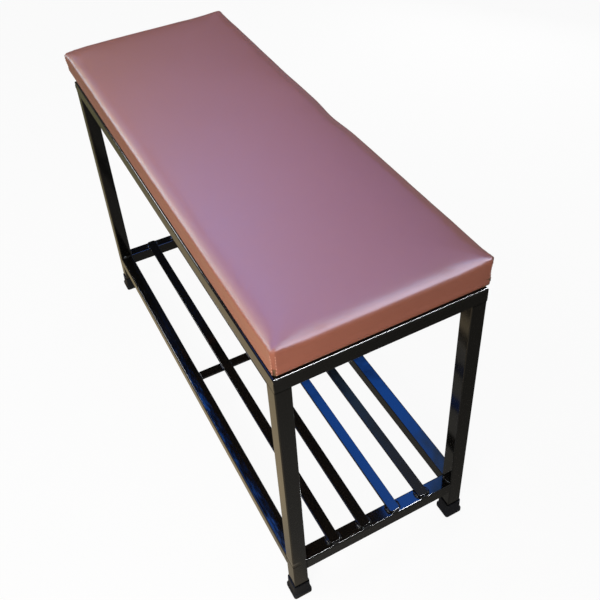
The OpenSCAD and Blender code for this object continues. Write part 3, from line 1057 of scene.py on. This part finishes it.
def lamp(name, place, aim, size, watts, tint=(1, 1, 1), gloss_of=None):
    """A soft rectangular lamp. With gloss_of it makes nothing but the highlights on those pieces."""
    data = bpy.data.lights.new(name, "AREA")
    data.shape = "RECTANGLE"
    data.size, data.size_y = size
    data.energy = watts
    data.color = tint
    light = bpy.data.objects.new(name, data)
    bpy.context.scene.collection.objects.link(light)
    light.location = place
    light.rotation_mode = "QUATERNION"
    light.rotation_quaternion = (Vector(aim) - Vector(place)).to_track_quat("-Z", "Y")
    light.visible_camera = False
    if gloss_of:
        light.visible_diffuse = False
        light.light_linking.receiver_collection = gloss_of
    return light


# what the lamps aim at: the edges and the middle of the seat's top
NEAR_EDGE = (0.47, 0, 0.59)
NEAR_EDGE_FRONT = (0.47, -0.13, 0.59)
LEFT_EDGE = (0, -0.17, 0.58)
TOP_MIDDLE = (0.05, 0, 0.59)
TOP_NEARER = (0.1, 0, 0.59)

# each sheen lamp's name, aim, azimuth and elevation in degrees, side, watts and tint
SHEEN_LAMPS = (
    ("sheen_near", NEAR_EDGE, 85, 68, 0.9, 27, (0.3, 0.59, 1.0)),
    ("sheen_near_far", NEAR_EDGE, 125, 60, 1.0, 5, (0.15, 0.38, 1.0)),
    ("sheen_left", LEFT_EDGE, -140, 14, 1.7, 56, (0.55, 0.85, 1.0)),
    ("sheen_left_high", LEFT_EDGE, -153, 38, 1.5, 26, (0.05, 0.38, 1.0)),
    ("sheen_left_warm", LEFT_EDGE, -155, 24, 0.9, 9.6, (1.0, 0.6, 0.1)),
    ("sheen_far_warm", LEFT_EDGE, 178, 34, 1.2, 5.6, (1.0, 0.62, 0.02)),
    ("sheen_top_near", TOP_MIDDLE, 150, 54, 0.9, 6.3, (1.0, 0.73, 0.6)),
    ("sheen_top_left", TOP_MIDDLE, 170, 45, 0.9, 12, (0.1, 0.43, 1.0)),
    ("sheen_top_low", TOP_MIDDLE, 160, 36, 0.9, 3.2, (1.0, 0.62, 0.62)),
)


def light_all():
    """Soft lamps that light everything. Two of them make no highlights."""
    lamp("left_softbox", (0.1, -0.8, 1.5), (0, 0, 0.55), (0.6, 0.6), 8.6)
    near_left = lamp(
        "near_left_softbox", (0.95, -0.62, 0.68), (0.47, 0, 0.5), (0.4, 0.4), 4.8, (1.0, 0.93, 0.84)
    )
    back = lamp("back_softbox", (-1.1, 1.5, 0.7), (0, 0, 0.4), (0.9, 0.9), 6)
    near_left.visible_glossy = back.visible_glossy = False


def light_steel():
    """The lines of light along the frame's edges, and the glints on the welds."""
    beads = group("weld_beads", lambda piece: piece.name.endswith("weld_beads"))
    painted = group(
        "painted_steel", lambda piece: PAINT in list(piece.data.materials) and piece.name not in beads.objects
    )
    lamp("edge_light_near", (0.23, 0.82, 2.5), (0.47, 0, 0.55), (0.6, 1.2), 360, (0.93, 0.96, 1.0), painted)
    lamp("edge_light_left", (-1.95, -1.03, 1.9), (0, -0.17, 0.55), (0.55, 0.7), 26, (1.0, 1.0, 1.0), painted)
    lamp("weld_glints", (1.6, -1.2, 2.6), (0.45, 0, 0.1), (0.5, 0.5), 26, (0.6, 0.78, 1.0), beads)


def light_seat():
    """The sheen of the seat's top and of its rolled edges."""
    padded = group("padded", lambda piece: piece.name in ("seat_cushion", "corner_stitches"))
    lamp("seat_sky", (-1.5, 0.5, 2.2), TOP_NEARER, (2.6, 1.1), 12, (0.01, 0.14, 1.0), padded)
    low_place = from_way(NEAR_EDGE_FRONT, 44, 47, 2.2)
    lamp("sheen_near_low", low_place, NEAR_EDGE_FRONT, (1.5, 1.5), 74, (0.5, 0.66, 0.95), padded)
    for name, aim, azimuth, elevation, side, watts, tint in SHEEN_LAMPS:
        lamp(name, from_way(aim, azimuth, elevation), aim, (side, side), watts, tint, padded)


# the camera that took the photograph
CAMERA_PLACE = Vector((1.08357, -0.40772, 1.30424))
CAMERA_RIGHT = Vector((0.47541, 0.878947, -0.037926))
CAMERA_UP = Vector((-0.554472, 0.332819, 0.762754))
CAMERA_BACK = Vector((0.683042, -0.341591, 0.645576))
CAMERA_SENSOR = 36
CAMERA_LENS = 48.204
CAMERA_SHIFT = (-0.024, -0.0827)


def make_camera():
    data = bpy.data.cameras.new("camera")
    data.sensor_width = CAMERA_SENSOR
    data.lens = CAMERA_LENS
    data.shift_x, data.shift_y = CAMERA_SHIFT
    camera = bpy.data.objects.new("camera", data)
    bpy.context.scene.collection.objects.link(camera)
    turned = Matrix((CAMERA_RIGHT, CAMERA_UP, CAMERA_BACK)).transposed().to_4x4()
    camera.matrix_world = Matrix.Translation(CAMERA_PLACE) @ turned
    bpy.context.scene.camera = camera


# the bench
dress_nodes()
make_stitches(make_seat())
for node, twist in zip(SLATS, SLAT_TWISTS):
    make_bar(node, SLAT_END, twist)
make_bar("shelf_cross_bar", CROSS_BAR_END)
for corner in ("front_left", "front_right", "back_left", "back_right"):
    make_foot_cap("foot_cap_" + corner)
make_welds()

# its surroundings
make_floor()
make_world()
light_all()
light_steel()
light_seat()
make_camera()
bpy.context.scene.view_settings.view_transform = "Standard"
